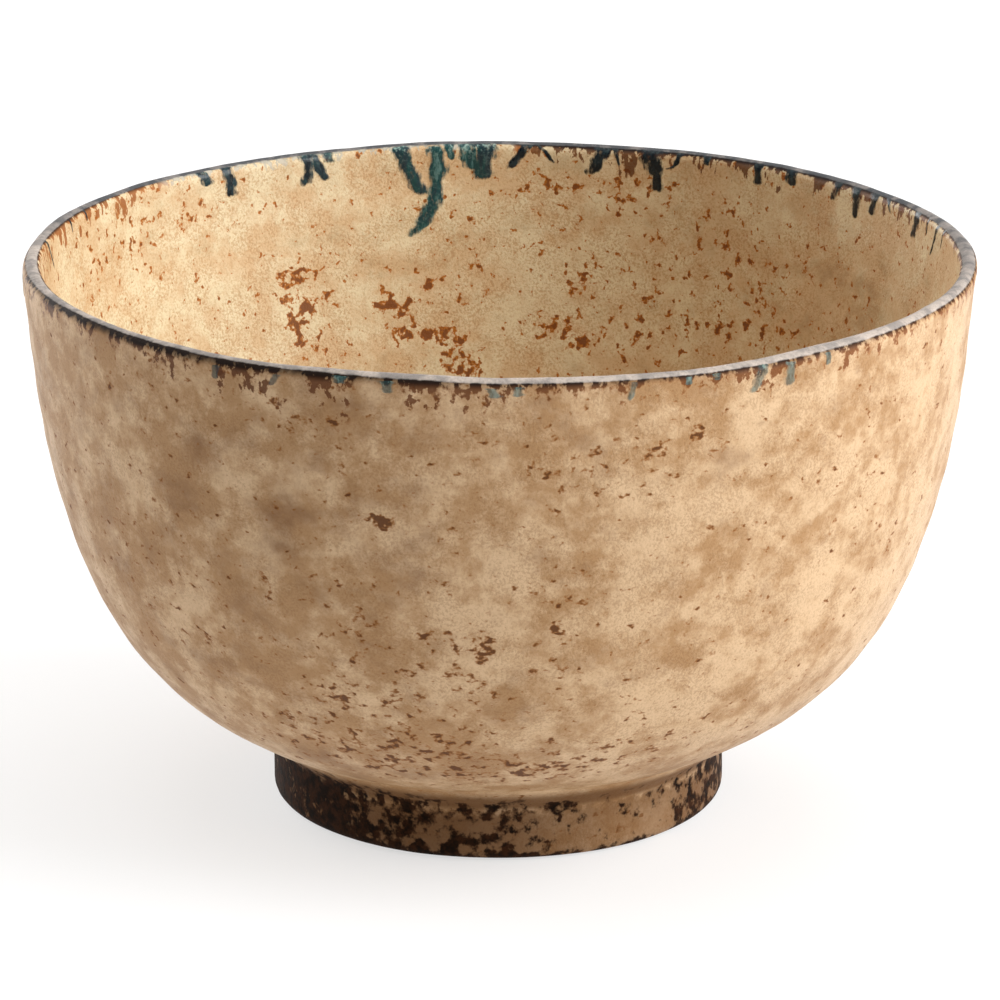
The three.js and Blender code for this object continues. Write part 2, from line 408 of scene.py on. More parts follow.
inner_coat = coat("inner_glaze_coat", FLOOR_MIDDLE, BAND_IN, 0.9 * MM, "inner_glaze", on_axis=True)
outer_coat = coat("outer_glaze_coat", BAND_OUT, COVE_START, 0.9 * MM, "outer_glaze")
lip_band = coat("lip_band", BAND_IN, BAND_OUT, 0.2 * MM, "rim_band", around=2 * AROUND)
foot_coat = coat("foot_wash_coat", COVE_START, FOOT_END, 0.45 * MM, "foot_glaze")

# %% [markdown]
# ## The clay under the glaze
# The potter throws the bowl, turns it over when it is leather-hard and cuts the foot ring out of
# the base with a loop tool. The tool leaves a spiral and a small nub in the recess. Only that
# recess and the tread stay bare, so the clay's other rows are few and its recess has many.

# %% Foot ring
UNDERSIDE_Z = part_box("clay_body")[0].z
RING_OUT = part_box("foot_ring")[1].x
RING_IN = 23.4 * MM
RECESS_ROWS = 90
CLAY_AROUND, RING_AROUND = 200, 288


def ring_profile():
    """Section of the bare foot ring: outer wall, eased tread, tapered wall of the recess."""
    tread = [(RING_OUT - 0.05 * MM, 1.2), (RING_OUT - 0.35 * MM, 0.45), (RING_OUT - 0.9 * MM, 0.08),
             (RING_OUT - 1.4 * MM, 0.0), (RING_IN + 1.3 * MM, 0.0), (RING_IN + 0.7 * MM, 0.12),
             (RING_IN + 0.2 * MM, 0.5), (RING_IN, 1.1)]
    wall = [(RING_IN - 0.9 * MM * t - 1.1 * MM * t ** 8, 1.1 + (UNDERSIDE_Z / MM - 1.1) * t)
            for t in (i / 16 for i in range(1, 17))]
    return [(r, z * MM) for r, z in tread] + [(r, z * MM) for r, z in wall] + [(RING_OUT, UNDERSIDE_Z)]


def spun_ring(points, around):
    bm = bmesh.new()
    chain = [bm.verts.new((0, r, z)) for r, z in points]
    edges = [bm.edges.new(pair) for pair in zip(chain, chain[1:] + chain[:1])]
    spin_round(bm, chain, edges, around)
    return bm


ring = spun_ring(ring_profile(), RING_AROUND)
for vert in ring.verts:
    if 0.2 * MM < vert.co.z < UNDERSIDE_Z - 0.2 * MM:
        pull = 1 + noise.noise(vert.co / (4 * MM)) * 0.0035
        vert.co.x *= pull
        vert.co.y *= pull
foot_ring = to_piece(ring, "foot_ring_turned")
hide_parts("foot_ring")


# %% Clay body
def recess_height(r, bearing):
    """Height of the turned recess: a spiral tool mark and a small nub in the middle."""
    spiral = math.sin(math.tau * (r / (2.1 * MM) - bearing / math.tau)) * 0.14 * min(1, r / (4 * MM))
    nub = 0.9 * math.exp(-(r / (2.2 * MM)) ** 2)
    hollow = -0.5 * math.exp(-(r / (11 * MM)) ** 2)
    return UNDERSIDE_Z + (0.25 - hollow + spiral - nub) * MM


def clay_shell(around=CLAY_AROUND):
    bm = bmesh.new()
    s_layer = bm.verts.layers.float.new("s")
    chain = []
    for s in steps_between(FLOOR_MIDDLE, COVE_START, 5 * MM):
        point, out = on_section(s)
        chain.append(bm.verts.new((0, max(0.0, point.x - out.x * GLAZE), point.z - out.z * GLAZE)))
    chain.append(bm.verts.new((0, RING_OUT - 1 * MM, UNDERSIDE_Z + 0.3 * MM)))
    for i in range(RECESS_ROWS + 1):
        chain.append(bm.verts.new((0, (RING_IN - 0.5 * MM) * (1 - i / RECESS_ROWS), UNDERSIDE_Z)))
        chain[-1][s_layer] = 1.0
    chain[0].co.y = chain[-1].co.y = 0
    edges = [bm.edges.new(pair) for pair in zip(chain, chain[1:])]
    spin_round(bm, chain, edges, around)
    for vert in bm.verts:
        if vert[s_layer] > 0.5:
            r, bearing = math.hypot(vert.co.x, vert.co.y), math.atan2(vert.co.x, vert.co.y)
            vert.co.z = recess_height(r, bearing) + noise.noise(vert.co / (1.7 * MM)) * 0.05 * MM
    return bm


clay = to_piece(clay_shell(), "clay_body_turned")
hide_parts("clay_body")

# %% [markdown]
# ## Green runs
# Where the lip was dipped in a second glaze it melted, ran down the wall and froze as green
# tongues. Painting them in the wall's material would leave them flat and as coarse as the wall's
# mesh, so each is a thin sheet of its own: a grid laid along a bent path on the wall, raised in
# the middle and sunk into the glaze all round. An attribute says how green each point is, and the
# margin fades to the same glaze as the wall, so no edge shows.

# %% Sheet of green glaze
RUN_MARGIN = 1.7  # the sheet is this many times as wide as the green on it
ACROSS = 20
ROW_PITCH = 0.16
SUNK = -0.35 * MM  # how deep the back of a sheet lies in the wall


def path_at(points, t):
    """A place on the curve from start to tip that is pulled towards the bend."""
    a, b, c = points
    return tuple((1 - t) ** 2 * p + 2 * (1 - t) * t * q + t * t * r for p, q, r in zip(a, b, c))


def run_width(v, bearing, pointed):
    """Width of a run at v of its length, as a share of its nominal one; a blunt tip swells."""
    shape = (1.0 - pointed * 0.75 * v) * (1.0 + 0.2 * math.exp(-v * 7))
    shape *= 1.0 + 0.2 * (1 - pointed) * math.exp(-((v - 0.86) / 0.12) ** 2)
    return shape * (1.0 + noise.noise(Vector((v * 6, 4.1, bearing))) * 0.3)


def run_core(u, v):
    """1 in the middle of a run, 0 at its outline and less on the sheet's margin."""
    return 1 - math.hypot(u, max(0.0, (v - 0.82) / 0.18, 0.8 - v * 8) * 1.45)


def run_lift(core, v, swell):
    """How far a run stands off the wall, in millimetres."""
    rise = swell * 0.55 * max(0.0, core) ** 0.6 * min(1.0, 0.35 + v * 1.2)
    return rise + min(core, 0.0) * 0.08 + 0.012


def glaze_run(name, inside, path, width, tone, swell, pointed, replaced=None):
    """path: three (bearing in degrees, depth in mm); width and swell in mm; tone 0 black to 1 teal."""
    side = -1 if inside else 1
    rows = max(12, round((path[2][1] - path[0][1]) / ROW_PITCH))
    bm = bmesh.new()
    bmesh.ops.create_grid(bm, x_segments=ACROSS, y_segments=rows, size=1)
    bmesh.ops.extrude_face_region(bm, geom=bm.faces[:])
    rows_of_marks = []
    half_count = len(bm.verts) // 2
    for i, vert in enumerate(bm.verts):
        u, v = vert.co.x * RUN_MARGIN, (1 - vert.co.y) / 2
        bearing, down = path_at(path, v)
        s = side * down * MM
        sway = noise.noise(Vector((v * 5, bearing, 0.3))) * 0.16
        aside = (u + sway) * width / 2 * run_width(v, bearing, pointed) * MM
        turn = math.radians(bearing) + aside / on_section(s)[0].x
        core = run_core(u, v)
        vert.co = on_bowl(s, turn, SUNK if i >= half_count else run_lift(core, v, swell) * MM)
        green = min(1.0, max(0.0, 0.5 + core * 0.9))
        rows_of_marks.append((*glaze_marks(s, vert.co), green, tone))
    bmesh.ops.recalc_face_normals(bm, faces=bm.faces[:])
    piece = to_piece(bm, name, named_columns(rows_of_marks, (*MARKS, "green", "tone")))
    if replaced:
        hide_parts(replaced)
    return piece


# %% Where the runs lie
# start, bend and tip as (bearing, depth); width; tone; swell; pointed 0 to 1; the node replaced, if any
RUNS_INSIDE = [
    ((-68.5, 0.4), (-68.5, 1.2), (-68.5, 2.4), 0.6, 0.35, 0.05, 0.9),
    ((-73.5, 0.4), (-73.5, 1.4), (-73.5, 2.8), 0.6, 0.35, 0.05, 0.9),
    ((-84, 0.4), (-83, 3), (-82, 5.6), 0.8, 0.3, 0.08, 0.9, "green_run_in_1"),
    ((-44, 0.4), (-43, 1.4), (-42.5, 3), 1.9, 0.5, 0.1, 0),
    ((-39.5, 0.4), (-39, 2.6), (-38.5, 5.2), 1.9, 0.35, 0.2, 0.1, "green_run_in_2"),
    ((-27, 0.4), (-26, 2.4), (-27.5, 5.2), 2.4, 0.4, 0.14, 0.3, "green_run_in_3"),
    ((-26, 0.4), (-26, 2.4), (-24, 4.8), 2.2, 0.4, 0.12, 0.4),
    ((-24, 0.4), (-24, 1), (-23.5, 2.4), 2, 0.6, 0.05, 0.4),
    ((-13.5, 0.4), (-13, 4.4), (-10, 8), 2.7, 0.7, 0.24, 0.25, "green_run_in_4"),
    ((-9, 0.4), (-7, 8.6), (-13, 13.6), 2.9, 0.9, 0.3, 0.5, "green_run_in_5"),
    ((-7, 0.4), (-7, 1.4), (-6.5, 3), 1.8, 0.95, 0.06, 0.7),
    ((-4.5, 0.4), (-4.5, 2), (-4, 4.6), 2.6, 1, 0.1, 0.5),
    ((-2, 0.4), (-2, 2.4), (-2.5, 6), 3.1, 0.65, 0.2, 0.2, "green_run_in_6"),
    ((-3.5, 0.6), (-3.5, 2.2), (-3, 5), 1.5, 0.9, 0.1, 0.4),
    ((4, 0.4), (3, 2), (1, 4.4), 1.7, 0.15, 0.14, 0.4, "green_run_in_7"),
    ((4.5, 0.4), (6, 1.2), (7.5, 3.4), 1.1, 0.15, 0.1, 0.6),
    ((14, 0.4), (14, 2.4), (12, 4.8), 2.3, 0.1, 0.2, 0.3, "green_run_in_8"),
    ((15.5, 0.4), (16, 1.8), (16.5, 3.4), 1, 0.15, 0.08, 0.8),
    ((21, 0.4), (21, 2.2), (21.5, 4.6), 4, 0.2, 0.16, 0.7, "green_run_in_9"),
    ((21.5, 1.6), (22, 4), (22, 6.6), 1.9, 0.05, 0.22, 0.1),
    ((25, 0.6), (25, 2.6), (23, 3.2), 1, 0.1, 0.08, 0.3),
    ((29, 0.4), (29, 1.2), (29, 2.2), 1.4, 0.2, 0.06, 0.4),
    ((37, 0.4), (37, 1.8), (37, 4), 1.5, 0.1, 0.12, 0.3),
    ((42.5, 0.4), (42.5, 1.6), (42.5, 3), 1.8, 0.1, 0.12, 0.2),
    ((51, 0.4), (51, 1.8), (50, 3.6), 1.5, 0.15, 0.12, 0.3),
    ((54.5, 0.4), (55, 2.6), (54.5, 5.2), 1.6, 0.2, 0.16, 0.2, "green_run_in_10"),
    ((58.5, 0.4), (58.5, 2), (58, 4), 1.7, 0.1, 0.14, 0.2),
    ((61, 0.4), (62, 1.4), (62.5, 2.8), 1, 0.15, 0.08, 0.7),
    ((69.5, 0.4), (69.5, 2.4), (68.5, 4.8), 1.7, 0.15, 0.16, 0.1, "green_run_in_11"),
    ((73, 0.4), (73, 1.8), (72.5, 3.6), 0.8, 0.2, 0.07, 0.9),
    ((77, 0.4), (76, 2.8), (74.5, 5.8), 1.1, 0.15, 0.1, 0.9, "green_run_in_12"),
    ((79.5, 0.4), (79, 1.8), (78.5, 3.8), 0.6, 0.2, 0.05, 0.9),
    ((118, 0.4), (118.5, 3), (118, 4.8), 1.8, 0.3, 0.16, 0.2),
    ((163, 0.4), (162.5, 2.6), (161.5, 4.2), 2, 0.6, 0.18, 0.2),
    ((176, 0.4), (176.5, 2.4), (177, 3.4), 1.5, 0.4, 0.12, 0.3),
    ((228, 0.4), (228, 3.4), (229.5, 6.2), 2.3, 0.75, 0.22, 0.2),
    ((232.5, 0.4), (232, 2.2), (232, 3.4), 1.5, 0.45, 0.12, 0.3),
]
RUNS_OUTSIDE = [
    ((181, 1.6), (180.5, 2), (180.5, 3), 1.5, 1, 0.04, 0.2),
    ((178, 1.4), (178, 2), (178, 2.8), 1.4, 1, 0.04, 0.2),
    ((165, 1.2), (165, 2.2), (165.5, 3.8), 1.1, 0.95, 0.08, 0.5, "green_run_out_1"),
    ((158.5, 1.2), (158.5, 1.6), (158.5, 2.4), 1.1, 1, 0.04, 0.3),
    ((155, 1.2), (155, 1.6), (155, 2.2), 1.1, 1, 0.04, 0.3),
    ((149, 0.8), (149.5, 2.6), (150.5, 4.6), 1.9, 0.9, 0.12, 0.5, "green_run_out_2"),
    ((145.5, 1.2), (145.5, 2.6), (145.5, 4.4), 1.7, 0.9, 0.12, 0.2, "green_run_out_3"),
    ((140, 1.2), (140, 1.8), (140, 2.8), 0.9, 0.85, 0.05, 0.3),
    ((192.5, 1.2), (192.5, 1.8), (192.5, 2.8), 1.9, 0.95, 0.04, 0.3),
    ((198, 1), (198, 1.6), (198, 2), 2, 0.9, 0.03, 0.3),
    ((205.5, 1.6), (206, 2.4), (206.5, 3.2), 1.1, 0.6, 0.04, 0.3),
    ((213.5, 1.6), (214, 2.4), (214, 3.6), 1.3, 0.6, 0.04, 0.5),
    ((262, 1.4), (262.5, 3.2), (262, 4.6), 1.5, 0.6, 0.12, 0.3),
    ((318, 1.4), (317.5, 3.6), (318.5, 6), 2.2, 0.85, 0.2, 0.2),
    ((322, 1.4), (322, 2.6), (322.5, 3.6), 1.5, 0.6, 0.1, 0.3),
    ((12, 1.4), (12.5, 3), (11.5, 4.2), 1.7, 0.5, 0.12, 0.3),
    ((66, 1.4), (66.5, 3.4), (66, 5.2), 1.9, 0.8, 0.18, 0.2),
]
runs_inside = [glaze_run(f"green_run_inside_{i + 1:02}", True, row[:3], *row[3:])
               for i, row in enumerate(RUNS_INSIDE)]
runs_outside = [glaze_run(f"green_run_outside_{i + 1:02}", False, row[:3], *row[3:])
                for i, row in enumerate(RUNS_OUTSIDE)]

# %% [markdown]
# ## Wiring helper
# A fired glaze needs dozens of nodes. Placing each by hand in code hides the idea, so a small
# class adds a node and wires its sockets in one line. It works in millimetres: a noise called with
# a size of 3 has lumps about 3 mm across, which is how a potter would judge them.

# %% Nodes in one line each
def tint(code):
    """A colour written as hex on the screen, turned to the linear values that a shader takes."""
    parts = [int(code[i:i + 2], 16) / 255 for i in (1, 3, 5)]
    return (*(p / 12.92 if p <= 0.04045 else ((p + 0.055) / 1.055) ** 2.4 for p in parts), 1.0)


class Wiring:
    def __init__(self, tree):
        self.nodes, self.links = tree.nodes, tree.links

    def feed(self, socket, value):
        if isinstance(value, bpy.types.NodeSocket):
            self.links.new(value, socket)
        else:
            socket.default_value = value

    def add(self, kind, settings=None, **sockets):
        node = self.nodes.new("ShaderNode" + kind)
        for key, value in (settings or {}).items():
            setattr(node, key, value)
        for key, value in sockets.items():
            self.feed(node.inputs[key.replace("_", " ")], value)
        return node

    def math(self, operation, *values):
        node = self.add("Math", {"operation": operation})
        for socket, value in zip(node.inputs, values):
            self.feed(socket, value)
        return node.outputs[0]

    def plus(self, a, b):
        return self.math("ADD", a, b)

    def minus(self, a, b):
        return self.math("SUBTRACT", a, b)

    def times(self, a, b):
        return self.math("MULTIPLY", a, b)

    def ramp(self, value, low, high, start=0.0, end=1.0):
        """Eases from start to end while value goes from low to high."""
        node = self.add("MapRange", {"interpolation_type": "SMOOTHSTEP"}, Value=value,
                        From_Min=low, From_Max=high, To_Min=start, To_Max=end)
        return node.outputs["Result"]

    def blend(self, amount, under, over, kind="MIX"):
        node = self.add("Mix", {"data_type": "RGBA", "blend_type": kind})
        for index, value in ((0, amount), (6, under), (7, over)):
            self.feed(node.inputs[index], value)
        return node.outputs[2]

    def stretch(self, place, by, shift=(0, 0, 0)):
        node = self.add("VectorMath", {"operation": "MULTIPLY_ADD"})
        for socket, value in zip(node.inputs, (place, by, shift)):
            self.feed(socket, value)
        return node.outputs[0]

    def lumps(self, place, size, detail=3.0, roughness=0.55, distortion=0.0):
        """Noise with lumps about size millimetres across."""
        scale = self.math("DIVIDE", 1.0, size) if isinstance(size, bpy.types.NodeSocket) else 1.0 / size
        return self.add("TexNoise", None, Vector=place, Scale=scale, Detail=detail,
                        Roughness=roughness, Distortion=distortion).outputs["Fac"]

    def attribute(self, name):
        return self.add("Attribute", {"attribute_name": name}).outputs["Fac"]


def new_group(name, numbers, outputs, colours=()):
    """A node group that takes a Place, colours and numbers. Its outputs are numbers, bar Colour."""
    tree = bpy.data.node_groups.new(name, "ShaderNodeTree")

    def socket(title, kind, way="INPUT"):
        return tree.interface.new_socket(title, in_out=way, socket_type="NodeSocket" + kind)

    socket("Place", "Vector")
    for title in colours:
        socket(title, "Color")
    for title, value in numbers.items():
        socket(title, "Float").default_value = value
    for title in outputs:
        socket(title, "Color" if title == "Colour" else "Float", "OUTPUT")
    wires = Wiring(tree)
    given, out = wires.nodes.new("NodeGroupInput").outputs, wires.nodes.new("NodeGroupOutput").inputs
    return tree, wires, given, out


# %% [markdown]
# ## Effects that the finishes share
# Clouds, spots, grain, the lip's iron and the painted sheen on its grey crown show on every glazed
# piece, and the green on the runs inside and outside. Each is a node group, built once, and every
# finish sets its own sizes on the group's sockets. The foot's brown wash, with painted shade in the
# crease over the foot, is on one piece only, but it is kept as a group too, so that all layers are
# built and used alike. The groups give out only colours, masks and heights; the shader itself stays
# in the material.

# %% Clouds in the glaze
def cloudy_glaze():
    tree, w, given, out = new_group("Glaze clouds", {"Cloud Size": 8.0, "Smudge": 0.0},
                                    ("Colour", "Height"), colours=("Dark", "Body", "Light"))
    place, size = given["Place"], given["Cloud Size"]
    broad = w.lumps(place, size, 3.0, 0.55)
    small = w.lumps(w.stretch(place, (1, 1, 1), (31, 7, 12)), w.times(size, 0.3), 5.0, 0.68)
    far = w.lumps(w.stretch(place, (1, 1, 1.3), (3, 41, 9)), w.times(size, 0.75), 4.0, 0.6)
    pale = w.plus(w.times(broad, 0.5), w.times(small, 0.5))
    # the smudges pale or darken the clouds; on the outside some of them are painted light and painted shade
    pale = w.minus(pale, w.times(given["Smudge"], 0.06))
    pale = w.ramp(pale, 0.41, 0.62)
    murky = w.plus(w.times(far, 0.75), w.times(small, 0.25))
    murky = w.plus(murky, w.times(given["Smudge"], 0.1))
    murky = w.ramp(murky, 0.48, 0.8, 0.0, 0.75)
    colour = w.blend(pale, given["Body"], given["Light"])
    colour = w.blend(murky, colour, given["Dark"])
    w.feed(out["Colour"], colour)
    w.feed(out["Height"], w.minus(pale, murky))
    return tree


# %% Iron spots
def iron_spots():
    tree, w, given, out = new_group(
        "Iron spots", {"Iron": 0.0, "Spot Size": 1.4, "Blur": 0.02}, ("Mask", "Core"))
    place, size = given["Place"], given["Spot Size"]
    blot = w.lumps(place, size, 2.0, 0.5, 0.2)
    crumbs = w.lumps(w.stretch(place, (1, 1, 1), (4, 8, 2)), w.times(size, 0.4), 2.0, 0.5)
    iron = w.times(w.math("MINIMUM", given["Iron"], 2.0), 0.1)
    blot = w.plus(w.times(blot, 0.75), w.times(crumbs, 0.25))
    over = w.plus(w.minus(blot, 0.675), iron)
    dust = w.plus(w.minus(crumbs, 0.72), w.times(iron, 0.6))
    spots = w.ramp(over, w.times(given["Blur"], -0.6), given["Blur"])
    w.feed(out["Mask"], w.math("MAXIMUM", spots, w.ramp(dust, 0.0, 0.09, 0.0, 0.6)))
    w.feed(out["Core"], w.ramp(over, 0.02, 0.09))
    return tree


# %% Sugar grain
def sugar_grain():
    tree, w, given, out = new_group("Sugar grain", {"Grain Size": 0.7}, ("Amount",))
    scale = w.math("DIVIDE", 1.0, given["Grain Size"])
    bent = w.add("TexNoise", None, Vector=given["Place"], Scale=w.times(scale, 0.8))
    wobble = w.stretch(bent.outputs["Color"], (0.6, 0.6, 0.6), given["Place"])
    cells = w.add("TexVoronoi", None, Vector=wobble, Scale=scale)
    seams = w.ramp(cells.outputs["Distance"], 0.2, 0.72)
    dust = w.ramp(w.lumps(given["Place"], w.times(given["Grain Size"], 0.7), 3.0, 0.65), 0.36, 0.66)
    patches = w.ramp(w.lumps(given["Place"], 5.0, 2.0), 0.38, 0.6, 0.65, 1.0)
    amount = w.plus(w.times(seams, 0.25), w.times(dust, 0.75))
    w.feed(out["Amount"], w.times(amount, patches))
    return tree


# %% Iron of the lip and its fringe
def lip_iron():
    tree, w, given, out = new_group(
        "Lip iron",
        {"Depth": 0.0, "Edge": 1.0, "Fringe": 2.5, "Burn": 0.5, "Crown": 0.5, "Drip": 0.3, "Softness": 0.15},
        ("Mask", "Dark", "Colour", "Crown"))
    place, depth = given["Place"], given["Depth"]
    long_drips = w.add("CombineXYZ", None, X=1.0, Y=1.0, Z=given["Drip"]).outputs[0]
    streaks = w.lumps(w.stretch(place, long_drips), 1.15, 4.0, 0.6)
    patches = w.lumps(w.stretch(place, (1, 1, 0.6), (9, 2, 5)), 4.2, 2.0, 0.6, 0.3)
    bleed = w.times(w.ramp(streaks, 0.42, 0.66), w.ramp(patches, 0.36, 0.6))
    ripple = w.ramp(streaks, 0.3, 0.7, -0.12, 0.12)
    edge = w.plus(w.plus(given["Edge"], ripple), w.times(given["Fringe"], bleed))
    over = w.minus(edge, depth)
    fresh = w.blend(given["Burn"], tint("#99551a"), tint("#4a2610"))
    tips = w.blend(given["Burn"], tint("#b06c24"), tint("#744522"))
    inner = w.minus(w.plus(given["Edge"], 0.25), depth)
    colour = w.blend(w.ramp(over, 0.0, 0.7), tips, fresh)
    dark = w.ramp(inner, w.math("MULTIPLY_ADD", given["Softness"], -0.5, -0.15), 0.5)
    colour = w.blend(dark, colour, tint("#1c0e06"))
    frost = w.blend(w.ramp(streaks, 0.4, 0.6), tint("#85857c"), tint("#b8b09f"))
    colour = w.blend(w.ramp(given["Burn"], -0.6, -0.1, 1.0, 0.0), colour, frost)
    crown = w.minus(given["Crown"], depth)
    crown = w.minus(crown, w.times(ripple, 0.6))
    w.feed(out["Mask"], w.ramp(over, w.times(given["Softness"], -1.0), given["Softness"]))
    w.feed(out["Dark"], dark)
    w.feed(out["Colour"], colour)
    w.feed(out["Crown"], w.ramp(crown, -0.1, 0.15))
    return tree


# %% Painted sheen on the lip's crown
def crown_sheen():
    tree, w, given, out = new_group("Worn crown", {"Worn": 0.5}, ("Colour", "Height"))
    hairs = w.lumps(w.stretch(given["Place"], (1, 1, 0.3)), 0.35, 4.0, 0.65)
    patches = w.ramp(w.lumps(given["Place"], 2.6, 4.0, 0.6, 0.3), 0.35, 0.65, -0.25, 0.25)
    # the paler greys are painted sheen: the crown is lighter where it stands for a reflection
    bright = w.plus(given["Worn"], patches)
    colour = w.blend(w.ramp(bright, 0.0, 0.55), tint("#4c4e51"), tint("#8d8681"))
    colour = w.blend(w.ramp(bright, 0.5, 1.15), colour, tint("#bdb0a5"))
    w.feed(out["Colour"], w.blend(w.ramp(hairs, 0.4, 0.7, 0.0, 0.28), colour, tint("#5f5852")))
    w.feed(out["Height"], hairs)
    return tree


# %% Green glaze
def green_glaze():
    tree, w, given, out = new_group("Green glaze", {"Tone": 0.5, "Depth": 2.0}, ("Colour",))
    place = given["Place"]
    threads = w.lumps(w.stretch(place, (1, 1, 0.35)), 0.8, 4.0, 0.6)
    drift = w.plus(given["Tone"], w.ramp(threads, 0.3, 0.7, -0.3, 0.3))
    colour = w.blend(w.ramp(drift, 0.05, 0.5), tint("#10171d"), tint("#24343a"))
    colour = w.blend(w.ramp(drift, 0.4, 1.1), colour, tint("#194342"))
    colour = w.blend(w.ramp(drift, 0.9, 1.3), colour, tint("#587876"))
    near_lip = w.ramp(given["Depth"], 0.4, 2.6, 1.0, 0.12)
    frost = w.times(near_lip, w.ramp(given["Tone"], 0.2, 0.8, 0.1, 1.0))
    crystals = w.times(w.ramp(w.lumps(place, 0.5, 3.0, 0.6), 0.5, 0.66), frost)
    w.feed(out["Colour"], w.blend(crystals, colour, tint("#8eaba1")))
    return tree


# %% Brown wash of the foot, with painted shade in the crease over it
def foot_wash():
    tree, w, given, out = new_group("Foot wash and shade", {"Share": 0.5}, ("Mask", "Stain And Shade", "Colour"))
    place, share = given["Place"], given["Share"]
    up = w.add("SeparateXYZ", None, Vector=place).outputs["Z"]
    broken = w.plus(w.times(w.lumps(place, 1.8, 3.0, 0.6), 0.8),
                    w.times(w.lumps(w.stretch(place, (1, 1, 1), (8, 3, 1)), 6.0, 2.0), 0.2))
    dark = w.plus(w.times(share, 0.3), broken)
    dark = w.plus(dark, w.ramp(up, 0.3, 1.6, 0.12, 0.0))
    top = w.plus(up, w.ramp(broken, 0.35, 0.65, 1.2, -1.2))
    below = w.ramp(w.minus(top, w.times(share, 2.0)), 5.6, 7.6, 1.0, 0.0)
    w.feed(out["Mask"], w.times(w.ramp(dark, 0.58, 0.7), below))
    # painted shade: a darker band in the hollow where the wall turns into the foot
    crease_shade = w.times(w.ramp(up, 6.0, 7.4, 0.0, 0.9), w.ramp(up, 8.4, 10.6, 1.0, 0.0))
    # a darker brown low on the foot, partly its own tone and partly painted shade under the belly
    foot_stain_and_shade = w.times(w.ramp(share, 0.1, 0.5, 0.7, 0.9), w.ramp(top, 6.4, 8.8, 1.0, 0.0))
    w.feed(out["Stain And Shade"], w.math("MAXIMUM", foot_stain_and_shade, crease_shade))
    uneven_brown = w.ramp(w.lumps(place, 1.1, 4.0, 0.6), 0.35, 0.65)
    w.feed(out["Colour"], w.blend(uneven_brown, tint("#150a03"), tint("#331b0a")))
    return tree


# %% Build the groups
GROUPS = {"clouds": cloudy_glaze(), "grain": sugar_grain(), "spots": iron_spots(), "lip": lip_iron(),
          "crown": crown_sheen(), "green": green_glaze(), "wash": foot_wash()}
print("node groups:", ", ".join(tree.name for tree in GROUPS.values()))

# %% [markdown]
# ## The fired glaze
# Inside and outside are the same glaze over different clay slips, so one function builds both from
# a palette. The layers go on as in the kiln: clouds first, then fine grain, then iron spots that
# break through, then the iron that bleeds from the lip, then the green where a run lies or the
# brown wash on the foot, with its painted shade, and last the grey crown with its painted sheen.
# The gloss falls where iron breaks the surface and rises on the green, and the same layers set a
# low bump, because real spots and grain can be felt.
# Each layer is a short function that takes colour, roughness and height and gives them back.

# %% Starting a finish
def place_in_mm(w):
    where = w.add("TexCoord").outputs["Object"]
    return w.stretch(where, (1 / MM, 1 / MM, 1 / MM))


def use(w, key, **sockets):
    return w.add("Group", {"node_tree": GROUPS[key]}, **sockets).outputs


def new_finish(name, **fixed):
    """A material, its wiring and its shader; fixed are constant shader sockets."""
    finish = bpy.data.materials.new(name)
    finish.use_nodes = True
    w = Wiring(finish.node_tree)
    shader = finish.node_tree.nodes["Principled BSDF"]
    for key, value in fixed.items():
        shader.inputs[key.replace("_", " ")].default_value = value
    return finish, w, shader


def set_surface(w, shader, colour, rough, height, strength, relief):
    """Feeds colour, roughness and a bump, whose relief is in millimetres."""
    bump = w.add("Bump", None, Strength=strength, Distance=relief * MM, Height=height)
    w.feed(shader.inputs["Base Color"], colour)
    w.feed(shader.inputs["Roughness"], rough)
    w.feed(shader.inputs["Normal"], bump.outputs["Normal"])


# %% Layers of the fired glaze
def ground_layers(w, place, palette):
    """Clouds, grain and iron spots."""
    # on the outside the smudge values also carry painted light on the right and front and painted shade low
    # on the left
    clouds = use(w, "clouds", Place=place, Dark=tint(palette["dark"]), Body=tint(palette["body"]),
                 Light=tint(palette["light"]), Cloud_Size=palette["cloud"], Smudge=w.attribute("smudge_and_shading"))
    grain = use(w, "grain", Place=place, Grain_Size=palette["grain"])["Amount"]
    colour = w.blend(w.ramp(grain, 0.2, 0.9, 0.0, palette["grain_depth"]), clouds["Colour"],
                     tint(palette["seam"]))
    iron = w.plus(w.attribute("iron"), palette["stray"])
    spots = use(w, "spots", Place=w.stretch(place, (1, 1, palette["flatten"])), Iron=iron,
                Spot_Size=palette["spot"], Blur=palette["blur"])
    rust = w.blend(spots["Core"], tint(palette["rust"]), tint(palette["rust_core"]))
    colour = w.blend(w.times(spots["Mask"], 0.95), colour, rust)
    rough = w.ramp(clouds["Height"], -0.6, 0.9, 0.5, 0.42)
    rough = w.plus(rough, w.times(spots["Mask"], 0.1))
    height = w.plus(w.times(clouds["Height"], 0.5), w.times(grain, -0.35))
    height = w.minus(height, w.times(spots["Mask"], 0.3))
    return colour, rough, height


def lip_layer(w, lip, colour, rough, height):
    """The lip's iron, whose dark line hides what is under it."""
    cover = w.times(lip["Mask"], w.ramp(lip["Dark"], 0.0, 1.0, 0.9, 1.0))
    colour = w.blend(cover, colour, lip["Colour"])
    return colour, w.plus(rough, w.times(lip["Dark"], 0.3)), height


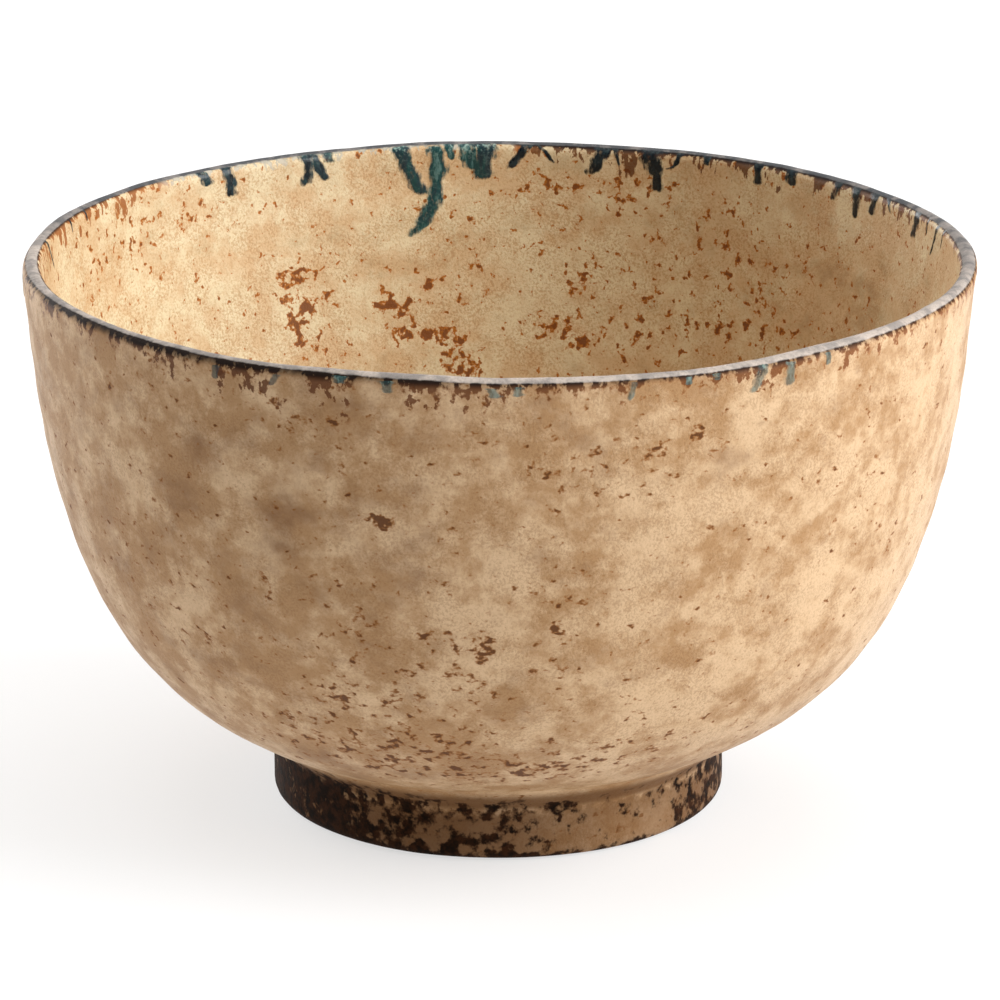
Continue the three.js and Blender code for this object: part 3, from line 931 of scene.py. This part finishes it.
def green_layer(w, place, palette, colour, rough, height):
    """Green with a ragged outline, glossier and smoother than the glaze it lies on."""
    green = use(w, "green", Place=place, Tone=w.attribute("tone"), Depth=w.attribute("depth"))
    ragged = w.lumps(w.stretch(place, (1, 1, 0.4)), 0.9, 4.0, 0.62)
    ragged = w.plus(w.attribute("green"), w.ramp(ragged, 0.3, 0.7, -0.3, 0.3))
    wet = w.ramp(ragged, 0.3, 0.9, 0.0, palette["wet"])
    colour = w.blend(wet, colour, green["Colour"])
    rough = w.times(rough, w.ramp(wet, 0.0, 1.0, 1.0, 0.6))
    return colour, rough, w.times(height, w.ramp(wet, 0.0, 1.0, 1.0, 0.35))


def wash_layer(w, place, colour, rough, height):
    """The foot's brown wash over a darker brown, partly the foot's own tone and partly painted shade in the
    hollow over the foot and on the foot under the belly.
    """
    wash = use(w, "wash", Place=place, Share=w.attribute("dark"))
    # this brown tone is partly painted shade: the hollow over the foot and the foot under the belly are
    # darkened
    colour = w.blend(wash["Stain And Shade"], colour, tint("#66462b"))
    colour = w.blend(wash["Mask"], colour, wash["Colour"])
    rough = w.plus(rough, w.times(wash["Mask"], 0.2))
    return colour, rough, w.minus(height, w.times(wash["Mask"], 0.6))


def crown_layer(w, place, lip, colour, rough, height):
    """The grey crown, with a painted sheen where it stands for the reflection of the surround."""
    crown = use(w, "crown", Place=place, Worn=w.attribute("painted_sheen"))
    colour = w.blend(lip["Crown"], colour, crown["Colour"])
    rough = w.plus(rough, w.times(lip["Crown"], 0.06))
    return colour, rough, w.plus(height, w.times(lip["Crown"], crown["Height"]))


# %% The fired glaze
GLAZE_BUMP, GLAZE_RELIEF = 0.75, 0.10


def fired_glaze(name, palette, with_green=False, with_wash=False):
    finish, w, shader = new_finish(name, Specular_IOR_Level=palette["shine"])
    place = place_in_mm(w)
    lip = use(w, "lip", Place=place, Depth=w.attribute("depth"), Edge=w.attribute("edge"),
              Fringe=w.attribute("fringe"), Burn=w.attribute("burn"), Crown=w.attribute("crown"),
              Drip=palette["drip"], Softness=palette["soft"])
    layers = ground_layers(w, place, palette)
    layers = lip_layer(w, lip, *layers)
    if with_green:
        layers = green_layer(w, place, palette, *layers)
    if with_wash:
        layers = wash_layer(w, place, *layers)
    set_surface(w, shader, *crown_layer(w, place, lip, *layers), GLAZE_BUMP, GLAZE_RELIEF)
    print(f"{name}: {len(finish.node_tree.nodes)} nodes")
    return finish


# %% Two palettes, five finishes
# cloud, grain, spot and soft are in millimetres; the other numbers are strengths and stretches
INSIDE_PALETTE = {
    "dark": "#98764a", "body": "#cdb089", "light": "#dccdaa", "cloud": 8.0,
    "seam": "#a97842", "grain": 0.45, "grain_depth": 0.52,
    "rust": "#a86008", "rust_core": "#713800", "stray": 0.5, "spot": 1.2, "blur": 0.035, "flatten": 1.0,
    "drip": 0.4, "soft": 0.14, "wet": 1.0, "shine": 0.22}
OUTSIDE_PALETTE = {
    "dark": "#7a5536", "body": "#aa845c", "light": "#d0b08b", "cloud": 8.5,
    "seam": "#855e36", "grain": 0.45, "grain_depth": 0.34,
    "rust": "#8a541f", "rust_core": "#5a310e", "stray": 0.35, "spot": 1.5, "blur": 0.06, "flatten": 1.35,
    "drip": 0.75, "soft": 0.8, "wet": 0.7, "shine": 0.15}
inside_glaze = fired_glaze("inside_glaze", INSIDE_PALETTE)
outside_glaze = fired_glaze("outside_glaze", OUTSIDE_PALETTE)
inside_green = fired_glaze("green_run_inside_glaze", INSIDE_PALETTE, with_green=True)
outside_green = fired_glaze("green_run_outside_glaze", OUTSIDE_PALETTE, with_green=True)
foot_glaze = fired_glaze("foot_wash", {**OUTSIDE_PALETTE, "shine": 0.05}, with_wash=True)


# %% Dress the glazed pieces
def dress(piece, finish):
    """Gives a piece its finish."""
    piece.data.materials.clear()
    piece.data.materials.append(finish)


dress(inner_coat, inside_glaze)
dress(outer_coat, outside_glaze)
dress(lip_band, inside_glaze)
lip_band.data.materials.append(outside_glaze)
for face in lip_band.data.polygons:
    face.material_index = 1 if math.hypot(face.center.x, face.center.y) > RIM_R - LIP_R else 0
for piece in runs_inside:
    dress(piece, inside_green)
for piece in runs_outside:
    dress(piece, outside_green)

# %% [markdown]
# ## The foot and the bare clay
# The foot carries a dark brown wash that breaks open over the tan glaze, thicker on one side. One
# more line by bearing says how much of it there is. The tread and recess are bare clay, matt and
# flecked with grog, so plain noise is enough for them.

# %% Foot wash
FOOT_DARK = [
    (-180, 0.5), (-160, 0.52), (-146, 0.62), (-136, 0.95), (-90, 1.0), (-40, 0.6), (0, 0.8), (50, 0.5),
    (95, 0.62), (122, 0.55), (132, 0.2), (150, 0.1), (166, 0.25), (180, 0.5)]


def paint_foot():
    values = []
    for vert in foot_coat.data.vertices:
        values.append(read_off(FOOT_DARK, math.degrees(math.atan2(vert.co.x, vert.co.y))))
    foot_coat.data.attributes.new("dark", "FLOAT", "POINT").data.foreach_set("value", values)


paint_foot()
dress(foot_coat, foot_glaze)


# %% Bare clay
def bare_clay_finish():
    finish, w, shader = new_finish("bare_clay")
    place = place_in_mm(w)
    broad = w.lumps(place, 6.0, 4.0, 0.6)
    grog = w.ramp(w.lumps(place, 0.55, 3.0, 0.65), 0.58, 0.68)
    colour = w.blend(w.ramp(broad, 0.35, 0.65), tint("#3a251a"), tint("#573a29"))
    colour = w.blend(w.times(grog, 0.6), colour, tint("#8d6d51"))
    rough = w.ramp(broad, 0.3, 0.7, 0.78, 0.9)
    set_surface(w, shader, colour, rough, w.plus(grog, w.lumps(place, 0.3, 2.0)), 0.8, 0.12)
    return finish


clay_finish = bare_clay_finish()
dress(clay, clay_finish)
dress(foot_ring, clay_finish)

# %% [markdown]
# ## Floor, light and camera
# The bowl stands on a pale floor under soft light. A large area light from the right models the
# wall, a weaker one from behind on the left lights its edge, one above fills the well, and a dim
# white surround gives the satin lip and glaze something to reflect. The floor glows, so that it
# stays white under soft light, and it is clear from below, so that the foot can be seen. A long
# lens from well back keeps the proportions true.

# %% Floor
FLOOR_GAP = 0.05 * MM  # the floor lies this far under the tread, so that the two don't share a plane
FLOOR_HALF = 3.0


def lay_floor():
    """A glowing pale sheet, clear from below so that the foot can be seen from there."""
    bm = bmesh.new()
    bmesh.ops.create_grid(bm, x_segments=1, y_segments=1, size=FLOOR_HALF)
    bmesh.ops.translate(bm, verts=bm.verts[:], vec=(0, 0, -FLOOR_GAP))
    mesh = bpy.data.meshes.new("floor")
    bm.to_mesh(mesh)
    bm.free()
    finish, w, shader = new_finish("pale_floor", Base_Color=(0.36, 0.36, 0.36, 1), Roughness=0.9,
                                   Emission_Color=(1, 1, 1, 1), Emission_Strength=0.62)
    sides = w.add("MixShader")
    w.feed(sides.inputs[0], w.add("NewGeometry").outputs["Backfacing"])
    w.feed(sides.inputs[1], shader.outputs["BSDF"])
    w.feed(sides.inputs[2], w.add("BsdfTransparent").outputs["BSDF"])
    w.feed(finish.node_tree.nodes["Material Output"].inputs["Surface"], sides.outputs["Shader"])
    mesh.materials.append(finish)
    sheet = bpy.data.objects.new("floor", mesh)
    bpy.context.scene.collection.objects.link(sheet)


lay_floor()


# %% Lights
AIM = (0, 0, 0.03)
SURROUND = 0.2


def softbox(name, where, size, power):
    lamp = bpy.data.lights.new(name, "AREA")
    lamp.shape = "RECTANGLE"
    lamp.size, lamp.size_y = size
    lamp.energy = power
    lit = bpy.data.objects.new(name, lamp)
    lit.location = where
    lit.rotation_euler = (Vector(AIM) - Vector(where)).to_track_quat("-Z", "Y").to_euler()
    bpy.context.scene.collection.objects.link(lit)


softbox("key_right", (0.938, -0.251, 0.55), (0.8, 0.8), 17.5)
softbox("edge_left", (-0.66, 0.66, 0.3), (1.0, 0.55), 8.5)
softbox("top", (0, 0.1, 1.25), (1.2, 1.2), 9.5)
world = bpy.data.worlds.new("studio")
world.use_nodes = True
background = world.node_tree.nodes["Background"]
background.inputs["Color"].default_value = (1, 1, 1, 1)
background.inputs["Strength"].default_value = SURROUND
bpy.context.scene.world = world
bpy.context.scene.view_settings.view_transform = "Standard"


# %% Camera
CAMERA_BACK, CAMERA_UP = 0.647, 0.2384
CAMERA_PITCH = math.radians(17.19)
LENS = 190.9
view = bpy.data.cameras.new("camera")
view.sensor_width = 36
view.lens = LENS
camera = bpy.data.objects.new("camera", view)
camera.location = (0, -CAMERA_BACK, CAMERA_UP)
camera.rotation_euler = (math.pi / 2 - CAMERA_PITCH, 0, 0)
bpy.context.scene.collection.objects.link(camera)
bpy.context.scene.camera = camera
